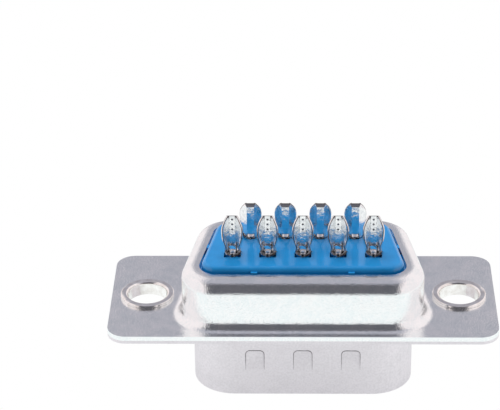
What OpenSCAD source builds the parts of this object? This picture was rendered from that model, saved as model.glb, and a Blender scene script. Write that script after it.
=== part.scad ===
// Nine-way D-subminiature plug with solder cups, standing on the mouth of its mating shell.
// Z = 0 is the mouth and +Z runs towards the solder cups. X runs along the flange. The wide row
// of five contacts lies on the -Y side and the narrow row of four on the +Y side.

/* [Flange] */
// Length of both shells' flanges
flange_l = 30.7; // [29:0.1:34]
// Width of both shells' flanges
flange_w = 12.5; // [12.3:0.1:15]
// Corner radius of the flanges
flange_corner_r = 1.5; // [0.5:0.1:2.5]

/* [Screw eyelets] */
// Distance from the centre of each screw hole to the end of the flange
screw_edge = 2.85; // [2.6:0.05:3.2]
// Distance from the centre of each screw hole to the side of the rear body
screw_space = 2.95; // [2.85:0.05:3.3]
// Bore of each eyelet
screw_bore_d = 3.15; // [2.6:0.05:3.3]
// Wall of the eyelet's tube
eyelet_wall = 0.25; // [0.15:0.05:0.3]
// Outer diameter of the eyelet's rolled rim
eyelet_rim_d = 4.3; // [4.2:0.05:4.5]
// Height of the rolled rim above the upper flange
eyelet_rim_rise = 0.26; // [0.24:0.01:0.4]
// Radius with which the bore flares out into the rim
eyelet_flare_r = 0.2; // [0.1:0.01:0.22]
// Radius of the rim's outer edge
eyelet_edge_r = 0.1; // [0.05:0.01:0.2]
// Thickness of the eyelet's foot under the lower flange
eyelet_foot_t = 0.25; // [0.15:0.05:0.4]
// Clearance of the eyelet's tube in the flanges
eyelet_gap = 0.02; // [0.01:0.01:0.05]

/* [Mating shell] */
// Step from the side of the rear body in to the side of the mating opening
mate_step = 1.06; // [0.9:0.01:1.3]
// Height of the mating opening across the rows
mate_h = 8.48; // [8.2:0.01:8.6]
// Depth of the mating shell below its flange
mate_depth = 5.82; // [5:0.02:7]
// Sheet thickness of the mating shell
front_t = 0.26; // [0.25:0.01:0.4]
// Outside corner radius of the mating shell
mate_corner_r = 3.3; // [2.6:0.1:3.6]
// Bend radius between the mating shell and the underside of its flange
mate_bend_r = 0.25; // [0.15:0.05:0.4]

/* [Dimples] */
// Width of each pressed dimple
dimple_w = 1.48; // [1:0.02:2]
// Height of each pressed dimple
dimple_h = 1.8; // [1.2:0.1:2.4]
// Depth of a dimple at its deep end
dimple_depth = 0.18; // [0.1:0.01:0.22]
// Corner radius at the deep end
dimple_corner_r = 0.35; // [0.2:0.05:0.45]
// Distance from the flange to the deep end
dimple_drop = 1.75; // [1:0.05:2.5]
// Distance between the three dimples of the wide side
dimple_pitch = 3.8; // [2.5:0.1:4.2]
// Distance between the two dimples of the narrow side
dimple_pitch_narrow = 5.6; // [2.5:0.1:6]

/* [Rear shell] */
// Height of the rear body across the rows
rear_h = 10.72; // [10.4:0.02:11]
// Rise of the rear body above its flange
rear_rise = 4.3; // [3.8:0.05:6]
// Sheet thickness of the rear shell
rear_t = 0.38; // [0.25:0.01:0.45]
// Outside corner radius of the rear body
rear_corner_r = 2.8; // [2.5:0.1:3.2]
// Outside radius of the shoulder
rear_shoulder_r = 1.05; // [0.8:0.05:1.15]
// Radius of the fillet between the rear body and its flange
rear_fillet_r = 0.78; // [0.4:0.02:0.78]
// Width of the rim, from the outside of the body to the edge of the opening
rear_rim_w = 1.42; // [1.3:0.01:1.6]

/* [Insulators] */
// Height of the front insulator's block above the flanges' joint
front_block_h = 2.1; // [1.6:0.05:2.4]
// Reach of the front insulator down into the mating shell
front_boss_h = 0.48; // [0.4:0.02:0.8]
// Clearance of both insulators inside the shells
insulator_gap = 0.05; // [0.02:0.01:0.1]
// Gap between the rear insulator and the edge of the rear shell's opening
lip_gap = 0.22; // [0.1:0.01:0.3]
// Height of the rear insulator above the rim
rear_block_proud = 0.44; // [0.3:0.02:1]
// Radius of the rear insulator's top edge
insulator_edge_r = 0.35; // [0.2:0.05:0.4]
// Width of the ribs that centre the rear insulator in the opening
rib_w = 0.5; // [0.3:0.05:0.8]
// Distance between the two ribs on the wide side
rib_pitch = 7.6; // [5:0.1:9]
// Clearance between a rib and the edge of the opening
rib_gap = 0.03; // [0.01:0.01:0.05]
// Height of the ribs above the rim
rib_proud = 0.12; // [0.05:0.01:0.2]

/* [Contacts] */
// Distance between neighbours in a row
contact_pitch = 2.77; // [2.6:0.01:2.8]
// Distance between the two rows
row_pitch = 2.84; // [2.6:0.01:2.9]
// Diameter of the mating pins
pin_d = 1; // [0.9:0.01:1.05]
// Distance from the mouth back to the pins' tips
pin_recess = 0.7; // [0.3:0.05:1.5]
// Outer diameter of the barrel that carries the solder cup
barrel_d = 1.24; // [1.15:0.01:1.35]
// Diameter of the collar held between the insulators
collar_d = 1.9; // [1.7:0.05:2.1]
// Height of the collar
collar_h = 0.6; // [0.4:0.05:0.9]
// Clearance of the contacts in the insulators
contact_gap = 0.03; // [0.01:0.01:0.05]
// Depth of the square mouths of the holes in the rear insulator
mouth_h = 0.5; // [0.3:0.05:0.9]

/* [Solder cups] */
// Height of the solder cups above the insulator
cup_h = 3.15; // [2.8:0.05:4]
// Greatest width of the solder cups
cup_w = 1.78; // [1.5:0.02:2]
// Width of the cups' cut tips
cup_tip_w = 0.9; // [0.8:0.02:1]
// Width of the flat strip up the back of each cup
cup_strip_w = 0.58; // [0.5:0.02:0.6]
// Height above the insulator at which the cups are widest
cup_wide_h = 2.15; // [1.8:0.05:2.4]
// Height at which the barrel has opened into a flat-backed trough
cup_form_h = 1.1; // [0.8:0.05:1.5]
// Height of the closed lip at the foot of the open side
cup_lip_h = 0.1; // [0.08:0.01:0.2]
// Sheet thickness of the solder cups
cup_t = 0.18; // [0.14:0.01:0.2]
// Depth of the cups' floor below the insulator's top
cup_floor = 1; // [0.6:0.05:1.2]
// Height of the bevel across the back of the tip
cup_bevel_h = 0.26; // [0.1:0.02:0.4]
// Width of the window in the back of each cup
window_w = 0.56; // [0.4:0.01:0.6]
// Height of that window above the insulator
window_h = 0.42; // [0.3:0.01:0.6]

/* [Hidden] */
CONTACTS = 9;
$fn = 96;

// Slope of the D's slanted sides
side_angle = 10;
// Overlap of solids that are joined in one piece
lap = 0.2;
// Tongue that joins a swept bend to its flange: its reach, and how far it lies inside the sheet
tongue = 0.1;
tongue_inset = 0.005;
// Inset of a flat D's straight sides, which makes them cross its corner arcs instead of just touching them
chord_inset = 0.001;
// Difference in corner radius that keeps the core's seams clear of those of the neck swept around it
seam_shift = 0.05;
// Least strip of flange left flat in front of the rear body's fillet
flat_strip = 0.1;
// Reach of a cutting solid past the face that it cuts
past = 0.1;

// Widths along the flange: between the screw holes' centres, of the rear body and of the mating opening
screw_pitch = flange_l - 2 * screw_edge;
rear_w = screw_pitch - 2 * screw_space;
mate_w = rear_w - 2 * mate_step;

// Levels above the mouth
joint_z = mate_depth + front_t;
deck_z = joint_z + rear_t;
rim_z = deck_z + rear_rise;
split_z = joint_z + front_block_h;
collar_z = split_z - collar_h;
rear_top_z = rim_z + rear_block_proud;
fillet_r = min(rear_fillet_r, (flange_w - rear_h) / 2 - flat_strip);
wall_bottom_z = deck_z + fillet_r;
shoulder_z = rim_z - rear_shoulder_r;

// Each D is [width on the wide side, height, corner radius], measured outside the sheet
mate_d = [mate_w + 2 * front_t, mate_h + 2 * front_t, mate_corner_r];
rear_d = [rear_w, rear_h, rear_corner_r];
// Steps inward from the outside of a D
mate_inside = -front_t - insulator_gap;
rear_inside = -rear_t - insulator_gap;
opening_edge = -rear_rim_w;
neck = opening_edge - lip_gap;

flange_hole_r = screw_bore_d / 2 + eyelet_wall + eyelet_gap;

// The wide row holds five contacts and the narrow row four
wide_row = 5;
barrel_r = barrel_d / 2;
// Fine shoulder of the barrel around the cup's sheet, and the sheet's outer radius inside it
cup_shoulder = 0.02;
cup_r = barrel_r - cup_shoulder;
// Flat left at the very tip, inside the bevel
cup_land = 0.036;
// How strongly the cup's outline bows on its way out to the widest point, and back in to the tip
cup_bow_out = 2;
cup_bow_in = 1.6;
// Depth of the cups' sheet below the insulator's top
cup_root = cup_floor + lap;
// Slope of the trough's wings against its back
wing_angle = 45;
// Angle that the sheet wraps to each side of the back, at the closed lip and where it has opened
closed_wrap = 172;
open_wrap = 100;
// Steps in a cup's sheet from its middle to each edge, and how many of them lie in the flat strip
cup_steps = 7;
strip_steps = 2;
// Steps up the opening of the lip, and from there to the tip
lip_steps = 4;
rise_steps = 8;

// ---- D-shaped outlines ----

// Centres of the wide and narrow corners on the +X side
function wide_corner(d) = [d[0] / 2 - d[2], d[2] - d[1] / 2];
function narrow_corner(d) = wide_corner(d) + (d[1] - 2 * d[2]) * [-tan(side_angle), 1];

// Flat D, grown outwards by a step
module d_face(d, step = 0) {
    r = d[2] + step;
    wide = wide_corner(d);
    narrow = narrow_corner(d);
    reach = r - chord_inset;
    out = reach * [cos(side_angle), sin(side_angle)];
    right = [wide - [0, reach], wide + out, narrow + out, narrow + [0, reach]];
    polygon(concat(right, [for (i = [3:-1:0]) [-right[i][0], right[i][1]]]));
    for (side = [-1, 1], at = [wide, narrow]) translate([side * at[0], at[1]]) circle(r);
}

module d_block(d, step, bottom, top) {
    translate([0, 0, bottom]) linear_extrude(top - bottom) d_face(d, step);
}

// Straight run of a profile, facing outwards at an angle from +X
module d_run(at, facing, length, r) {
    translate(at) rotate([90, 0, facing]) linear_extrude(length, center = true) translate([r, 0]) children();
}

module d_corner(at, start, turn, r) {
    translate(at) rotate_extrude(angle = turn, start = start) translate([r, 0]) children();
}

// Sweeps a profile around a D. In the profile X is the step outwards and Y is the height.
module d_sweep(d) {
    r = d[2];
    wide = wide_corner(d);
    narrow = narrow_corner(d);
    d_run([0, wide[1]], -90, 2 * wide[0], r) children();
    d_run([0, narrow[1]], 90, 2 * narrow[0], r) children();
    for (side = [0, 1]) mirror([side, 0, 0]) {
        d_run((wide + narrow) / 2, side_angle, norm(narrow - wide), r) children();
        d_corner(wide, -90, 90 + side_angle, r) children();
        d_corner(narrow, side_angle, 90 - side_angle, r) children();
    }
}

// Quarter of a ring between two radii, in the +X +Y quarter
module quarter_ring(inner_r, outer_r) {
    intersection() {
        difference() {
            circle(outer_r);
            circle(inner_r);
        }
        square(outer_r + past);
    }
}

module rounded_rect(length, width, r) {
    square([length - 2 * r, width], center = true);
    square([length, width - 2 * r], center = true);
    for (x = [-1, 1], y = [-1, 1]) translate([x * (length / 2 - r), y * (width / 2 - r)]) circle(r);
}

// ---- Shells ----

// Flange sheet with its two eyelet holes, open inside the bend that is swept around a D
module flange_sheet(bottom, thickness, d, bend) {
    translate([0, 0, bottom]) linear_extrude(thickness) difference() {
        rounded_rect(flange_l, flange_w, flange_corner_r);
        d_face(d, bend + 2 * tongue_inset);
        for (side = [-1, 1]) translate([side * screw_pitch / 2, 0]) circle(flange_hole_r);
    }
}

module flange_tongue(bend, bottom, thickness) {
    translate([bend, bottom + tongue_inset]) square([tongue, thickness - 2 * tongue_inset]);
}

// Rounded-top outline of a dimple, seen square to its wall, with its deep end at Y = 0
module dimple_face() {
    translate([-dimple_w / 2, -dimple_h]) square([dimple_w, dimple_h - dimple_corner_r]);
    translate([dimple_corner_r - dimple_w / 2, -dimple_h])
        square([dimple_w - 2 * dimple_corner_r, dimple_h]);
    for (side = [-1, 1]) translate([side * (dimple_w / 2 - dimple_corner_r), -dimple_corner_r])
        circle(dimple_corner_r);
}

// Wedge pressed into a wall at Y = 0 that faces -Y, deepest at its upper end and reaching out by a step
module dimple_wedge(reach) {
    intersection() {
        translate([0, dimple_depth + past, 0]) rotate([90, 0, 0])
            linear_extrude(dimple_depth + reach + 2 * past) dimple_face();
        rotate([90, 0, 90]) linear_extrude(dimple_w + past, center = true)
            polygon([[-reach, past], [-reach, -dimple_h - past], [0, -dimple_h], [dimple_depth, 0],
                [dimple_depth, past]]);
    }
}

// Puts its child at each dimple, on the outside of the wall
module at_dimples(inset) {
    top = mate_depth - dimple_drop;
    for (i = [-1:1]) translate([i * dimple_pitch, inset - mate_d[1] / 2, top]) children();
    for (side = [-1, 1])
        translate([side * dimple_pitch_narrow / 2, mate_d[1] / 2 - inset, top]) mirror([0, 1, 0]) children();
}

module front_shell() {
    bend_z = mate_depth - mate_bend_r;
    color("gainsboro") {
        difference() {
            union() {
                flange_sheet(mate_depth, front_t, mate_d, mate_bend_r);
                d_sweep(mate_d) {
                    translate([-front_t, 0]) square([front_t, bend_z]);
                    translate([mate_bend_r, bend_z]) mirror([1, 0])
                        quarter_ring(mate_bend_r, mate_bend_r + front_t);
                    flange_tongue(mate_bend_r, mate_depth, front_t);
                }
            }
            at_dimples(0) dimple_wedge(past);
        }
        at_dimples(front_t) dimple_wedge((front_t - dimple_depth) / 2);
    }
}

module rear_shell() {
    color("silver") {
        flange_sheet(joint_z, rear_t, rear_d, fillet_r);
        d_sweep(rear_d) {
            flange_tongue(fillet_r, joint_z, rear_t);
            translate([fillet_r, wall_bottom_z]) rotate(180) quarter_ring(fillet_r, fillet_r + rear_t);
            translate([-rear_t, wall_bottom_z]) square([rear_t, shoulder_z - wall_bottom_z]);
            translate([-rear_shoulder_r, shoulder_z])
                quarter_ring(rear_shoulder_r - rear_t, rear_shoulder_r);
            translate([opening_edge, rim_z - rear_t]) square([rear_rim_w - rear_shoulder_r, rear_t]);
        }
    }
}

// ---- Eyelets ----

// Tube through both flanges, with a flattened rolled rim above them and a foot below
module eyelet(side) {
    bore_r = screw_bore_d / 2;
    rim_r = eyelet_rim_d / 2;
    foot_z = mate_depth - eyelet_foot_t;
    flare_x = bore_r + eyelet_flare_r;
    edge_x = rim_r - eyelet_edge_r;
    color("whitesmoke") translate([side * screw_pitch / 2, 0, 0]) rotate_extrude() {
        translate([bore_r, foot_z]) square([eyelet_wall, deck_z - foot_z]);
        translate([bore_r, foot_z]) square([rim_r - bore_r, eyelet_foot_t]);
        translate([0, deck_z]) {
            translate([bore_r, 0]) square([rim_r - bore_r, eyelet_rim_rise - eyelet_flare_r]);
            translate([flare_x, 0]) square([edge_x - flare_x, eyelet_rim_rise]);
            translate([edge_x, 0]) square([eyelet_edge_r, eyelet_rim_rise - eyelet_edge_r]);
            translate([edge_x, eyelet_rim_rise - eyelet_edge_r]) quarter_ring(0, eyelet_edge_r);
            translate([flare_x, eyelet_rim_rise - eyelet_flare_r]) mirror([1, 0])
                quarter_ring(0, eyelet_flare_r);
        }
    }
}

// ---- Contacts ----

// Centre of contact i, counted from 0 along the wide row and then along the narrow row
function contact_at(i) =
    i < wide_row
        ? [(i - (wide_row - 1) / 2) * contact_pitch, -row_pitch / 2]
        : [(i - (wide_row + CONTACTS - 1) / 2) * contact_pitch, row_pitch / 2];

// Puts its child at each contact, turned so that -Y is the side to which the cup opens
module at_contacts() {
    for (i = [0:CONTACTS - 1]) translate(contact_at(i)) rotate(i < wide_row ? 0 : 180) children();
}

function mix(a, b, s) = a + (b - a) * s;
function share(h, low, high) = min(1, max(0, (h - low) / (high - low)));
function ease(s) = s * s * (3 - 2 * s);

// Half the width of the trough: it spreads from the barrel and is cut back towards the tip
function cup_reach(h) =
    h < cup_wide_h
        ? mix(cup_w / 2, cup_r, pow(1 - share(h, 0, cup_wide_h), cup_bow_out))
        : mix(cup_w / 2, cup_tip_w / 2, pow(share(h, cup_wide_h, cup_h), cup_bow_in));

// Level at which the open side of the cup clears its lip
cup_open_h = 2 * cup_lip_h;
function cup_wrap(h) = mix(closed_wrap, open_wrap, ease(share(h, cup_lip_h, cup_open_h)));

// Point of the sheet i steps from its middle: on the round barrel, on the trough, and between them
function barrel_point(i, h, inset) =
    (cup_r - inset) * [sin(cup_wrap(h) * i / cup_steps), cos(cup_wrap(h) * i / cup_steps)];
function trough_x(i, strip, reach) =
    i <= strip_steps
        ? strip * i / strip_steps
        : mix(strip, reach, (i - strip_steps) / (cup_steps - strip_steps));
function trough_point(i, h, inset) =
    let (strip = cup_strip_w / 2 - inset * tan(wing_angle / 2),
         x = trough_x(i, strip, cup_reach(h) - inset * sin(wing_angle)))
    [x, cup_r - inset - max(0, x - strip) * tan(wing_angle)];
function cup_point(i, h, inset) =
    mix(barrel_point(abs(i), h, inset), trough_point(abs(i), h, inset), share(h, cup_lip_h, cup_form_h));

// Closed ring of points at one level: the outer face and then the inner face back again
function cup_ring(h) = [
    for (i = [-cup_steps:cup_steps]) let (at = cup_point(i, h, 0)) [sign(i) * at[0], at[1], h],
    for (i = [cup_steps:-1:-cup_steps]) let (at = cup_point(i, h, cup_t)) [sign(i) * at[0], at[1], h]];

// Levels of the rings: the root, the lip in fine steps, then even steps to the tip
function cup_levels() = [
    -cup_root,
    for (k = [0:lip_steps]) mix(cup_lip_h, cup_open_h, k / lip_steps),
    for (k = [1:rise_steps]) mix(cup_open_h, cup_h, k / rise_steps)];

// Sheet that wraps around +Y and is open towards -Y, with the insulator's top at Z = 0
module cup_sheet() {
    levels = cup_levels();
    ring = 2 * (2 * cup_steps + 1);
    top = (len(levels) - 1) * ring;
    walls = [for (j = [0:len(levels) - 2], i = [0:ring - 1])
        let (a = j * ring + i, b = j * ring + (i + 1) % ring)
        each [[a, b, a + ring], [b, b + ring, a + ring]]];
    caps = [for (i = [0:2 * cup_steps - 1]) each [
        [ring - 1 - i, ring - 2 - i, i + 1, i],
        [for (k = [i, i + 1, ring - 2 - i, ring - 1 - i]) k + top]]];
    polyhedron([for (h = levels) each cup_ring(h)], concat(walls, caps), convexity = 6);
}

module cup() {
    land_y = cup_r - cup_t + cup_land;
    difference() {
        cup_sheet();
        // Bevel across the back of the tip
        rotate([90, 0, 90]) linear_extrude(cup_w, center = true)
            polygon([[cup_r + past, cup_h - cup_bevel_h - past], [cup_r, cup_h - cup_bevel_h],
                [land_y, cup_h], [land_y, cup_h + past], [cup_r + past, cup_h + past]]);
        // Window through the back, just above the insulator
        translate([-window_w / 2, 0, -past]) cube([window_w, barrel_d, past + window_h]);
    }
}

// Pin, collar and barrel, turned about the contact's axis
module contact_body() {
    pin_r = pin_d / 2;
    tip_z = pin_recess + pin_r;
    floor_z = rear_top_z - cup_floor;
    rotate_extrude() {
        translate([0, tip_z]) mirror([0, 1]) quarter_ring(0, pin_r);
        translate([0, tip_z]) square([pin_r, collar_z - tip_z]);
        translate([0, collar_z]) square([collar_d / 2, collar_h]);
        translate([0, split_z]) square([barrel_r, floor_z - split_z]);
    }
}

module contact(i) {
    color("lightgray") translate(contact_at(i)) {
        contact_body();
        translate([0, 0, rear_top_z]) rotate(i < wide_row ? 0 : 180) cup();
    }
}

// ---- Insulators ----

module front_insulator() {
    bottom = joint_z - front_boss_h;
    color("royalblue") difference() {
        union() {
            d_block(rear_d, rear_inside, joint_z, split_z);
            d_block(mate_d, mate_inside, bottom, joint_z + lap);
        }
        at_contacts() {
            translate([0, 0, bottom - past]) cylinder(split_z, d = pin_d + 2 * contact_gap);
            translate([0, 0, collar_z]) cylinder(collar_h + past, d = collar_d + 2 * contact_gap);
        }
    }
}

// Small ribs on the neck that centre it in the opening
module neck_ribs() {
    reach = lip_gap - rib_gap;
    bottom = rim_z - rear_t;
    wide = wide_corner(rear_d);
    narrow = narrow_corner(rear_d);
    run = rear_d[2] + neck;
    for (side = [-1, 1])
        translate([side * rib_pitch / 2 - rib_w / 2, wide[1] - run - reach, bottom])
            cube([rib_w, reach + lap, rear_t + rib_proud]);
    for (side = [0, 1]) mirror([side, 0, 0]) translate((wide + narrow) / 2) rotate(side_angle)
        translate([run - lap, -rib_w / 2, bottom]) cube([reach + lap, rib_w, rear_t + rib_proud]);
}

module rear_insulator() {
    under_rim_z = rim_z - rear_t - insulator_gap;
    hole_r = barrel_r + contact_gap;
    edge_z = rear_top_z - insulator_edge_r;
    core = neck - insulator_edge_r;
    color("dodgerblue") difference() {
        union() {
            d_block(rear_d, rear_inside, split_z, shoulder_z);
            d_block(rear_d, -rear_shoulder_r, split_z, under_rim_z);
            d_block(rear_d - [0, 0, seam_shift], core - 3 * tongue_inset, split_z, rear_top_z);
            // Neck with a rounded top edge
            d_sweep(rear_d) {
                translate([core - lap, shoulder_z]) square([insulator_edge_r + lap, edge_z - shoulder_z]);
                translate([core - lap, edge_z]) square([lap, insulator_edge_r - tongue_inset]);
                translate([core, edge_z]) quarter_ring(0, insulator_edge_r);
            }
            neck_ribs();
        }
        at_contacts() {
            translate([0, 0, split_z - past]) cylinder(rear_top_z, r = hole_r);
            // Square mouth towards the cup's open side
            translate([-hole_r, -hole_r, rear_top_z - mouth_h]) cube([2 * hole_r, hole_r, mouth_h + past]);
        }
    }
}

front_shell();
rear_shell();
front_insulator();
rear_insulator();
eyelet(-1);  // eyelet_left
eyelet(1);  // eyelet_right
for (i = [1:CONTACTS]) contact(i - 1);
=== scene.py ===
# Nine-way D-sub plug with solder cups. Metres throughout; Z = 0 is the mouth of the mating shell.
import math

import bmesh
import bpy
from mathutils import Matrix, Vector


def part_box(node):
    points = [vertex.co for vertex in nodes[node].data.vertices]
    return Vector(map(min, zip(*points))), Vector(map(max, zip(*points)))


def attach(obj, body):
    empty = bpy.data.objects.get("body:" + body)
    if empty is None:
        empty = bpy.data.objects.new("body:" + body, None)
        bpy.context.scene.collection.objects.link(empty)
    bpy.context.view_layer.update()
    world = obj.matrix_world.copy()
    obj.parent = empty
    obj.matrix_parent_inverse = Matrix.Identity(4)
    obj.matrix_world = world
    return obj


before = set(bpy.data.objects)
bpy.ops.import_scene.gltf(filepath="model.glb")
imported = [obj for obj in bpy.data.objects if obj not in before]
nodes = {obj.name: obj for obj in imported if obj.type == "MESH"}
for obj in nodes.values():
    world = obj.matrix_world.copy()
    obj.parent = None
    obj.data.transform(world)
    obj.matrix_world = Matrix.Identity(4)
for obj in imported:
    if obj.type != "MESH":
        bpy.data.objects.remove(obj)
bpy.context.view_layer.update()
MM = 0.001

# ---- Camera ----
# A long lens a hand's breadth away looks down on the wide row of solder cups, almost square to
# the flange. Its angles are in degrees and its distances in millimetres.

CAMERA_TURN, CAMERA_HEIGHT, CAMERA_ROLL = 1.804, 28.971, -0.830
CAMERA_DISTANCE = 170.182
CAMERA_TARGET = Vector((-4.148, 0, 14.747))
LENS = 156.07

turn, height, roll = (math.radians(a) for a in (CAMERA_TURN, CAMERA_HEIGHT, CAMERA_ROLL))
towards_camera = Vector(
    (math.sin(turn) * math.cos(height), -math.cos(turn) * math.cos(height), math.sin(height))
)
level = Vector((math.cos(turn), math.sin(turn), 0))
upright = towards_camera.cross(level)
right = level * math.cos(roll) + upright * math.sin(roll)
up = upright * math.cos(roll) - level * math.sin(roll)
camera_data = bpy.data.cameras.new("camera")
camera_data.lens = LENS
camera_data.sensor_width = 36
camera_data.clip_start = 0.005
camera = bpy.data.objects.new("camera", camera_data)
bpy.context.scene.collection.objects.link(camera)
camera.matrix_world = (
    Matrix.Translation((CAMERA_TARGET + towards_camera * CAMERA_DISTANCE) * MM)
    @ Matrix((right, up, towards_camera)).transposed().to_4x4()
)
bpy.context.scene.camera = camera

# ---- Rear shell ----
# Drawn sheet steel, tin plated after forming. Its D-shaped body holds the rear insulator, and
# its flange lies on the front shell's.


def colour(hex_code):
    """sRGB hex to linear RGBA"""
    parts = [int(hex_code[i : i + 2], 16) / 255 for i in (1, 3, 5)]
    return [c / 12.92 if c <= 0.04045 else ((c + 0.055) / 1.055) ** 2.4 for c in parts] + [1]


def new_material(name):
    material = bpy.data.materials.new(name)
    material.use_nodes = True
    return material, material.node_tree.nodes["Principled BSDF"]


def add(owner, kind, inputs=(), stops=(), **settings):
    """Adds a shader node. A socket given as an input is linked, and anything else is its value."""
    tree = owner.node_tree
    node = tree.nodes.new("ShaderNode" + kind)
    for name, value in settings.items():
        setattr(node, name, value)
    for name, value in dict(inputs).items():
        if isinstance(value, bpy.types.NodeSocket):
            tree.links.new(value, node.inputs[name])
        else:
            node.inputs[name].default_value = value
    while len(node.color_ramp.elements if stops else ()) < len(stops):
        node.color_ramp.elements.new(0.5)
    for i, (position, tone) in enumerate(stops):
        node.color_ramp.elements[i].position = position
        node.color_ramp.elements[i].color = tone
    return node


def per_metre(size_mm):
    """Scale of a pattern whose features are a given size in millimetres"""
    return 1 / (size_mm * MM)


# Tin plate on drawn steel: a bright skin over a crystalline grain that breaks up the edges of
# every reflection. Blotches and slow waves from the drawing die vary its tone. The real grain is
# finer, and is drawn this coarse so that it shows.
def tinned_steel(name, dark, light, roughness, grain_mm, grain_depth, wave_depth):
    material, shader = new_material(name)
    place = add(material, "TexCoord").outputs["Object"]
    grain = add(material, "TexNoise", {"Vector": place, "Scale": per_metre(grain_mm), "Detail": 3})
    blotch = add(material, "TexNoise", {"Vector": place, "Scale": per_metre(grain_mm * 8), "Detail": 4})
    wave = add(material, "TexNoise", {"Vector": place, "Scale": per_metre(3), "Detail": 1})
    both = add(material, "Math", {0: grain.outputs["Fac"], 1: blotch.outputs["Fac"]}, operation="ADD")
    share = add(
        material, "MapRange",
        {"Value": both.outputs[0], "From Min": 0.75, "From Max": 1.2, "To Min": 0, "To Max": 1},
    )
    tone = add(
        material, "ValToRGB", {"Fac": share.outputs["Result"]},
        stops=[(0, colour(dark)), (1, colour(light))],
    )
    clouding = add(
        material, "MapRange",
        {"Value": blotch.outputs["Fac"], "From Min": 0.3, "From Max": 0.7,
         "To Min": roughness * 0.75, "To Max": roughness * 1.25},
    )
    waves = add(material, "Bump", {"Height": wave.outputs["Fac"], "Distance": wave_depth * MM})
    grains = add(
        material, "Bump",
        {"Height": grain.outputs["Fac"], "Distance": grain_depth * MM, "Normal": waves.outputs["Normal"]},
    )
    for socket, name in (
        (tone.outputs["Color"], "Base Color"),
        (clouding.outputs["Result"], "Roughness"),
        (grains.outputs["Normal"], "Normal"),
    ):
        material.node_tree.links.new(socket, shader.inputs[name])
    shader.inputs["Metallic"].default_value = 1
    return material


def geometry_group(name, build):
    """Geometry node group with one mesh in and one out, whose nodes a function adds and links"""
    tree = bpy.data.node_groups.new(name, "GeometryNodeTree")
    for direction in ("INPUT", "OUTPUT"):
        tree.interface.new_socket("Mesh", in_out=direction, socket_type="NodeSocketGeometry")
    start, end = tree.nodes.new("NodeGroupInput"), tree.nodes.new("NodeGroupOutput")
    tree.links.new(build(tree, start.outputs[0]), end.inputs[0])
    return tree


def sharper_than(tree, degrees):
    bend = tree.nodes.new("GeometryNodeInputMeshEdgeAngle")
    sharp = tree.nodes.new("FunctionNodeCompare")
    sharp.inputs["B"].default_value = math.radians(degrees)
    tree.links.new(bend.outputs["Unsigned Angle"], sharp.inputs["A"])
    return sharp.outputs["Result"]


def shade_smooth_below(degrees):
    """Shades the mesh smooth, except over edges that bend by more than an angle"""

    def build(tree, mesh):
        normals = tree.nodes.new("GeometryNodeSetMeshNormal")
        tree.links.new(mesh, normals.inputs["Mesh"])
        tree.links.new(sharper_than(tree, degrees), normals.inputs["Edge Sharpness"])
        return normals.outputs["Mesh"]

    return build


def mark_sharp_edges(tree, mesh):
    """Joins the mesh and marks its sharp edges, which are then bevelled"""
    join = tree.nodes.new("GeometryNodeMergeByDistance")
    join.inputs["Distance"].default_value = 0.001 * MM
    tree.links.new(mesh, join.inputs["Geometry"])
    mark = tree.nodes.new("GeometryNodeStoreNamedAttribute")
    mark.domain = "EDGE"
    mark.inputs["Name"].default_value = "bevel_weight_edge"
    tree.links.new(join.outputs["Geometry"], mark.inputs["Geometry"])
    tree.links.new(sharper_than(tree, 60), mark.inputs["Value"])
    return mark.outputs["Geometry"]


def shade_smooth(tree, mesh):
    """Shades the mesh smooth, except over edges that bend by more than 27 degrees"""
    normals = tree.nodes.new("GeometryNodeSetMeshNormal")
    tree.links.new(mesh, normals.inputs["Mesh"])
    tree.links.new(sharper_than(tree, 27), normals.inputs["Edge Sharpness"])
    return normals.outputs["Mesh"]


MARK = geometry_group("sharp edges marked", mark_sharp_edges)
SMOOTH = geometry_group("shaded smooth", shade_smooth)


def dress(node, *materials, edge_mm=0):
    """Gives a CAD node its material, and may ease its sharp edges, which take the last material"""
    piece = nodes[node]
    piece.data.materials.clear()
    for material in materials:
        piece.data.materials.append(material)
    if edge_mm:
        piece.modifiers.new("marked", "NODES").node_group = MARK
        bevel = piece.modifiers.new("eased", "BEVEL")
        bevel.width = edge_mm * MM
        bevel.segments = 3
        bevel.limit_method = "WEIGHT"
        bevel.use_clamp_overlap = False
        bevel.material = len(materials) - 1
        piece.modifiers.new("shaded", "NODES").node_group = SMOOTH


bright_tin = tinned_steel(
    "tin plated steel, deep drawn", "#f3f7f8", "#ffffff",
    roughness=0.17, grain_mm=0.13, grain_depth=0.02, wave_depth=0.02,
)
dress("rear_shell", bright_tin)

# ---- Front shell ----
# The D-shaped plug that slides into the socket, drawn from thinner tin-plated steel with a satin
# skin. Dimples pressed into its walls grip the socket's shell, and their ends are sheared.

satin_tin = tinned_steel(
    "tin plated steel, satin", "#e4dfe3", "#f2edf1",
    roughness=0.38, grain_mm=0.16, grain_depth=0.006, wave_depth=0.02,
)
dress("front_shell", satin_tin)

# Painted shade where a dimple's end was sheared: a fine dark grey tube stands in for the shadow in the
# step, widest and darkest at the deep end.
painted_shade_grey, shader = new_material("steel grey, painted shade")
place = add(painted_shade_grey, "TexCoord").outputs["Object"]
tear = add(painted_shade_grey, "TexNoise", {"Vector": place, "Scale": per_metre(0.2), "Detail": 2})
tone = add(
    painted_shade_grey, "ValToRGB", {"Fac": tear.outputs["Fac"]},
    stops=[(0.3, colour("#6d6a6c")), (0.7, colour("#a8a5a8"))],
)
painted_shade_grey.node_tree.links.new(tone.outputs["Color"], shader.inputs["Base Color"])
shader.inputs["Metallic"].default_value = 1
shader.inputs["Roughness"].default_value = 0.5

WALL_Y = 4.5
DIMPLE_TOP, DIMPLE_H, DIMPLE_W, DIMPLE_CORNER = 4.07, 1.8, 1.48, 0.35
DIMPLES = [(x, -1) for x in (-3.8, 0, 3.8)] + [(x, 1) for x in (-2.8, 2.8)]
LINE_R, LINE_END_R = 0.03, 0.008


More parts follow.
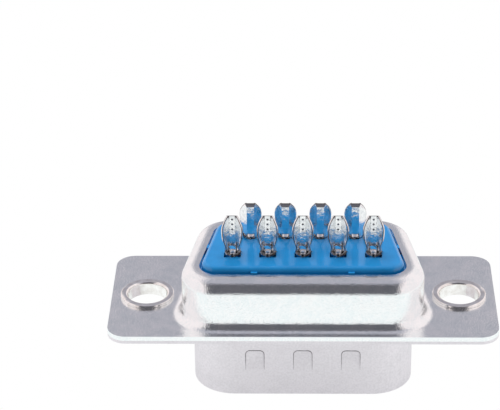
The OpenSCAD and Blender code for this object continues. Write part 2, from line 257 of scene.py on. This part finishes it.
def new_piece(name, mesh, material):
    """Turns a bmesh in millimetres into a piece that rides on the connector"""
    bmesh.ops.scale(mesh, vec=(MM, MM, MM), verts=mesh.verts)
    bmesh.ops.recalc_face_normals(mesh, faces=mesh.faces)
    data = bpy.data.meshes.new(name)
    mesh.to_mesh(data)
    mesh.free()
    data.shade_smooth()
    data.materials.append(material)
    piece = bpy.data.objects.new(name, data)
    bpy.context.scene.collection.objects.link(piece)
    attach(piece, "root")
    return piece


def tube(mesh, path, radii, sides=8):
    """Tube along a path that lies in a plane Y = constant"""
    rings = []
    for i, (point, radius) in enumerate(zip(path, radii)):
        along = (path[min(i + 1, len(path) - 1)] - path[max(i - 1, 0)]).normalized()
        across = along.cross(Vector((0, 1, 0)))
        turns = [2 * math.pi * k / sides for k in range(sides)]
        rings.append([
            mesh.verts.new(point + (across * math.cos(a) + Vector((0, 1, 0)) * math.sin(a)) * radius)
            for a in turns
        ])
    for low, high in zip(rings, rings[1:]):
        for k in range(sides):
            mesh.faces.new((low[k], low[k - 1], high[k - 1], high[k]))
    mesh.faces.new(rings[0])
    mesh.faces.new(rings[-1])


# Dark grey tubes along the dimples' ends: painted shade for the shadow in each sheared step.
edges = bmesh.new()
for x, side in DIMPLES:
    half, top = DIMPLE_W / 2, DIMPLE_TOP
    path = [Vector((-half, 0, top - DIMPLE_H + DIMPLE_H * k / 8)) for k in range(7)]
    for k in range(9):
        a = math.radians(90 * k / 8)
        path.append(Vector((
            -half + DIMPLE_CORNER * (1 - math.cos(a)), 0, top - DIMPLE_CORNER * (1 - math.sin(a))
        )))
    path += [Vector((-p.x, 0, p.z)) for p in reversed(path)]
    depth = [(p.z - top + DIMPLE_H) / DIMPLE_H for p in path]
    tube(
        edges,
        [p + Vector((x, side * WALL_Y, 0)) for p in path],
        [LINE_END_R + (LINE_R - LINE_END_R) * d for d in depth],
    )
new_piece("dimple_edges", edges, painted_shade_grey)

# ---- Screw eyelets ----
# Two drawn brass eyelets, nickel plated and rolled over above the flanges. They hold the two
# shells together and take the mounting screws.

# Nickel plate, rolled flat: a warm mirror, slightly clouded by handling.
nickel, shader = new_material("nickel plated brass, rolled")
place = add(nickel, "TexCoord").outputs["Object"]
cloud = add(nickel, "TexNoise", {"Vector": place, "Scale": per_metre(0.5), "Detail": 3})
tone = add(
    nickel, "ValToRGB", {"Fac": cloud.outputs["Fac"]},
    stops=[(0.3, colour("#ebe6e2")), (0.7, colour("#fffdfb"))],
)
nickel.node_tree.links.new(tone.outputs["Color"], shader.inputs["Base Color"])
shader.inputs["Metallic"].default_value = 1
shader.inputs["Roughness"].default_value = 0.12
rolled = add(nickel, "Bump", {"Height": cloud.outputs["Fac"], "Distance": 0.01 * MM})
nickel.node_tree.links.new(rolled.outputs["Normal"], shader.inputs["Normal"])
for side in ("left", "right"):
    dress("eyelet_" + side, nickel, edge_mm=0.03)

# ---- Insulators ----
# Two glass-filled PBT mouldings, blue and glossy. The front one holds the pins and the rear one
# holds the barrels of the solder cups. The rear one stands in the opening of the rear shell.

# PBT, moulded: an even blue with faint flow marks, and a gloss that mirrors the cups.
pbt, shader = new_material("PBT, moulded")
place = add(pbt, "TexCoord").outputs["Object"]
flow = add(pbt, "TexNoise", {"Vector": place, "Scale": per_metre(1.6), "Detail": 3})
tone = add(
    pbt, "ValToRGB", {"Fac": flow.outputs["Fac"]},
    stops=[(0.3, colour("#1a8ccf")), (0.7, colour("#2398de"))],
)
pbt.node_tree.links.new(tone.outputs["Color"], shader.inputs["Base Color"])
shader.inputs["Roughness"].default_value = 0.17
shader.inputs["IOR"].default_value = 1.57
skin = add(pbt, "TexNoise", {"Vector": place, "Scale": per_metre(0.5), "Detail": 2})
moulded = add(pbt, "Bump", {"Height": skin.outputs["Fac"], "Distance": 0.004 * MM})
pbt.node_tree.links.new(moulded.outputs["Normal"], shader.inputs["Normal"])
dress("front_insulator", pbt)
dress("rear_insulator", pbt)

# ---- Contacts ----
# Nine brass contacts, stamped, rolled and tin plated: a round pin at the mating end and a cup,
# open on one side, into which a wire is soldered. The narrow row's cups face the other way.

# Tin plate on brass, bright: nearly a mirror, with ripples left by the plating and the rolling.
tin, shader = new_material("tin plated brass, bright")
place = add(tin, "TexCoord").outputs["Object"]
ripple = add(tin, "TexNoise", {"Vector": place, "Scale": per_metre(0.3), "Detail": 3})
tone = add(
    tin, "ValToRGB", {"Fac": ripple.outputs["Fac"]},
    stops=[(0.3, colour("#e6e8ea")), (0.7, colour("#ffffff"))],
)
tin.node_tree.links.new(tone.outputs["Color"], shader.inputs["Base Color"])
shader.inputs["Metallic"].default_value = 1
shader.inputs["Roughness"].default_value = 0.16
rippled = add(tin, "Bump", {"Height": ripple.outputs["Fac"], "Distance": 0.02 * MM})
tin.node_tree.links.new(rippled.outputs["Normal"], shader.inputs["Normal"])

# Sheared brass, where the strip was cut: bare of tin and dulled, so it outlines each cup darkly.
bare_brass, shader = new_material("brass, sheared")
place = add(bare_brass, "TexCoord").outputs["Object"]
tear = add(bare_brass, "TexNoise", {"Vector": place, "Scale": per_metre(0.06), "Detail": 2})
tone = add(
    bare_brass, "ValToRGB", {"Fac": tear.outputs["Fac"]},
    stops=[(0.3, colour("#4a4440")), (0.7, colour("#8a8078"))],
)
bare_brass.node_tree.links.new(tone.outputs["Color"], shader.inputs["Base Color"])
shader.inputs["Metallic"].default_value = 1
shader.inputs["Roughness"].default_value = 0.4
for i in range(9):
    dress("contact_%d" % (i + 1), tin, bare_brass, edge_mm=0.045)

# ---- Punch marks ----
# Three small dents up the inside of each cup, left by the tool that rolled it. Each is a low
# ring round a sunk middle, coloured dark grey as painted shade in the dent.

cup_boxes = [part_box("contact_%d" % (i + 1)) for i in range(9)]
CUP_X = [(low[0] + high[0]) / 2 / MM for low, high in cup_boxes]
CUP_TIP_Z = cup_boxes[0][1][2] / MM
FRONT_ROW = 5
CUP_ROW_Y = 1.42
CUP_BACK = 0.42
MARK_R, MARK_RIM = 0.09, 0.028
MARK_FOOT, MARK_CREST, MARK_MIDDLE = 0.001, 0.02, 0.004
MARK_SIDES = 20
MARKS_BELOW_TIP = (0.35, 0.78, 1.24)

mark_turns = [2 * math.pi * k / MARK_SIDES for k in range(MARK_SIDES)]
for i, x in enumerate(CUP_X):
    facing = -1 if i < FRONT_ROW else 1
    face_y = facing * (CUP_ROW_Y - CUP_BACK)
    marks = bmesh.new()
    for drop in MARKS_BELOW_TIP:
        centre = Vector((x, face_y, CUP_TIP_Z - drop))
        rings = []
        for step, out in enumerate((MARK_FOOT, MARK_CREST, MARK_MIDDLE)):
            radius = MARK_R - step * MARK_RIM
            rings.append([
                marks.verts.new(centre + Vector((radius * math.cos(a), facing * out, radius * math.sin(a))))
                for a in mark_turns
            ])
        for outer, inner in zip(rings, rings[1:]):
            for k in range(MARK_SIDES):
                marks.faces.new((outer[k], outer[k - 1], inner[k - 1], inner[k]))
        marks.faces.new(rings[-1])
    # The dents are coloured dark grey as painted shade.
    new_piece("cup_marks_%d" % (i + 1), marks, painted_shade_grey)

# ---- Wire stops ----
# The tab lanced out of each cup's window is bent inwards across the cup's foot, where it stops
# the wire. It is a thin arched plate of the contact's own tinned brass.

STOP_W, STOP_T, STOP_RISE = 0.54, 0.05, 0.04
STOP_BACK, STOP_FRONT = 0.46, -0.3
STOP_LIFT = 0.03
STOP_STEPS = 8
# The last third of the plate narrows towards its free end
STOP_NARROWING = 0.8

insulator_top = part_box("rear_insulator")[1][2] / MM
for i, x in enumerate(CUP_X):
    facing = -1 if i < FRONT_ROW else 1
    stop = bmesh.new()
    layers = []
    for layer in (STOP_T, 0):
        rows = []
        for k in range(STOP_STEPS + 1):
            along = k / STOP_STEPS
            half = STOP_W / 2 * math.sqrt(1 - STOP_NARROWING * max(0, along * 3 - 2) ** 2)
            y = facing * (CUP_ROW_Y - STOP_BACK + (STOP_BACK - STOP_FRONT) * along)
            rows.append([
                stop.verts.new((
                    x + half * across, y,
                    insulator_top + STOP_LIFT + layer + STOP_RISE * (1 - across ** 2),
                ))
                for across in (2 * j / STOP_STEPS - 1 for j in range(STOP_STEPS + 1))
            ])
        layers.append(rows)
    upper, lower = layers
    for k in range(STOP_STEPS):
        for j in range(STOP_STEPS):
            stop.faces.new((upper[k][j], upper[k][j + 1], upper[k + 1][j + 1], upper[k + 1][j]))
            stop.faces.new((lower[k][j], lower[k + 1][j], lower[k + 1][j + 1], lower[k][j + 1]))
        for j in (0, STOP_STEPS):
            stop.faces.new((upper[k][j], upper[k + 1][j], lower[k + 1][j], lower[k][j]))
            stop.faces.new((upper[j][k], lower[j][k], lower[j][k + 1], upper[j][k + 1]))
    new_piece("wire_stop_%d" % (i + 1), stop, tin)

# ---- Table and light ----
# A plain white table in a plain room. The side towards the camera is in shade and the sides are
# bright, so the metal shows soft dark bands between the white table and the grey ceiling.

TABLE_R = 34
table_mesh = bmesh.new()
bmesh.ops.create_circle(table_mesh, cap_ends=True, segments=96, radius=TABLE_R * MM)
table_data = bpy.data.meshes.new("table")
table_mesh.to_mesh(table_data)
table_mesh.free()
table = bpy.data.objects.new("table", table_data)
bpy.context.scene.collection.objects.link(table)
# White card: plain white to the eye. In reflections it carries a painted shadow, dimmer near the part where
# the part would shade it.
card, shader = new_material("white card")
shader.inputs["Base Color"].default_value = colour("#f2f2f2")
shader.inputs["Roughness"].default_value = 0.9
ray = add(card, "LightPath")
place = add(card, "TexCoord").outputs["Object"]
# Painted shadow for reflections: the card's glow dims towards the part.
oval = add(card, "VectorMath", {0: place, 1: (0.9, 1, 1)}, operation="MULTIPLY")
away = add(card, "VectorMath", {0: oval.outputs[0]}, operation="LENGTH")
shade = add(
    card, "MapRange",
    {"Value": away.outputs["Value"], "From Min": 5 * MM, "From Max": 14 * MM, "To Min": 0, "To Max": 1},
)
near = add(
    card, "ValToRGB", {"Fac": shade.outputs["Result"]},
    stops=[(0, (0.74, 0.76, 0.77, 1)), (1, (0.965, 1, 1, 1))],
)
mirrored = add(card, "MixRGB", {0: ray.outputs["Is Camera Ray"], 1: near.outputs[0], 2: (1, 1, 1, 1)})
glow = add(card, "Emission", {"Color": mirrored.outputs[0], "Strength": 1})
seen = add(
    card, "Math", {0: ray.outputs["Is Camera Ray"], 1: ray.outputs["Is Glossy Ray"]}, operation="MAXIMUM"
)
seen = add(card, "Math", {0: seen.outputs[0], 1: ray.outputs["Is Transmission Ray"]}, operation="MAXIMUM")
face = add(card, "MixShader", {0: seen.outputs[0], 1: shader.outputs[0], 2: glow.outputs[0]})
card.node_tree.links.new(face.outputs[0], card.node_tree.nodes["Material Output"].inputs["Surface"])
table_data.materials.append(card)

room = bpy.data.worlds.new("room")
room.use_nodes = True
bpy.context.scene.world = room
direction = add(room, "TexCoord").outputs["Generated"]
split = add(room, "SeparateXYZ", {0: direction})
forward = add(room, "Math", {0: split.outputs["Y"], 1: -1}, operation="MULTIPLY")
rise = add(room, "Math", {0: split.outputs["Z"], 1: forward.outputs[0]}, operation="ARCTAN2")
around = add(
    room, "MapRange",
    {"Value": rise.outputs[0], "From Min": -math.pi, "From Max": math.pi, "To Min": 0, "To Max": 1},
)
# Brightness of the room by its angle in degrees, up from the camera's side and over the top
ROOM = (
    (-180, 0.45), (-90, 0.2), (-2, 0.14), (55, 0.13), (66, 0.2),
    (76, 0.49), (100, 0.45), (150, 0.42), (180, 0.42),
)
ROOM_TINT = (0.915, 0.91, 1.04)
tones = add(
    room, "ValToRGB", {"Fac": around.outputs["Result"]},
    stops=[((angle + 180) / 360, [bright * t for t in ROOM_TINT] + [1]) for angle, bright in ROOM],
)
SIDES = (0.93, 0.87, 0.88, 1)
behind = add(
    room, "MapRange",
    {"Value": split.outputs["Y"], "From Min": 0, "From Max": 0.4, "To Min": 0, "To Max": 0.32},
)
sideways = add(room, "Math", {0: split.outputs["X"]}, operation="ABSOLUTE")
sideways = add(room, "Math", {0: sideways.outputs[0], 1: behind.outputs["Result"]}, operation="ADD")
flank = add(
    room, "MapRange",
    {"Value": sideways.outputs[0], "From Min": 0.4, "From Max": 0.62, "To Min": 0, "To Max": 1},
    interpolation_type="SMOOTHSTEP",
)
lit = add(room, "MixRGB", {0: flank.outputs["Result"], 1: tones.outputs["Color"], 2: SIDES})
ray = add(room, "LightPath")
shown = add(room, "MixRGB", {0: ray.outputs["Is Camera Ray"], 1: lit.outputs[0], 2: (1, 1, 1, 1)})
room.node_tree.links.new(shown.outputs[0], room.node_tree.nodes["Background"].inputs["Color"])

lamp_data = bpy.data.lights.new("overhead", "AREA")
lamp_data.energy = 0.12
lamp_data.size = 0.1
lamp = bpy.data.objects.new("overhead", lamp_data)
lamp.location = (-0.02, 0.05, 0.15)
lamp.rotation_euler = lamp.location.to_track_quat("Z", "Y").to_euler()
lamp.visible_glossy = False
bpy.context.scene.collection.objects.link(lamp)

bpy.context.scene.view_settings.view_transform = "Standard"
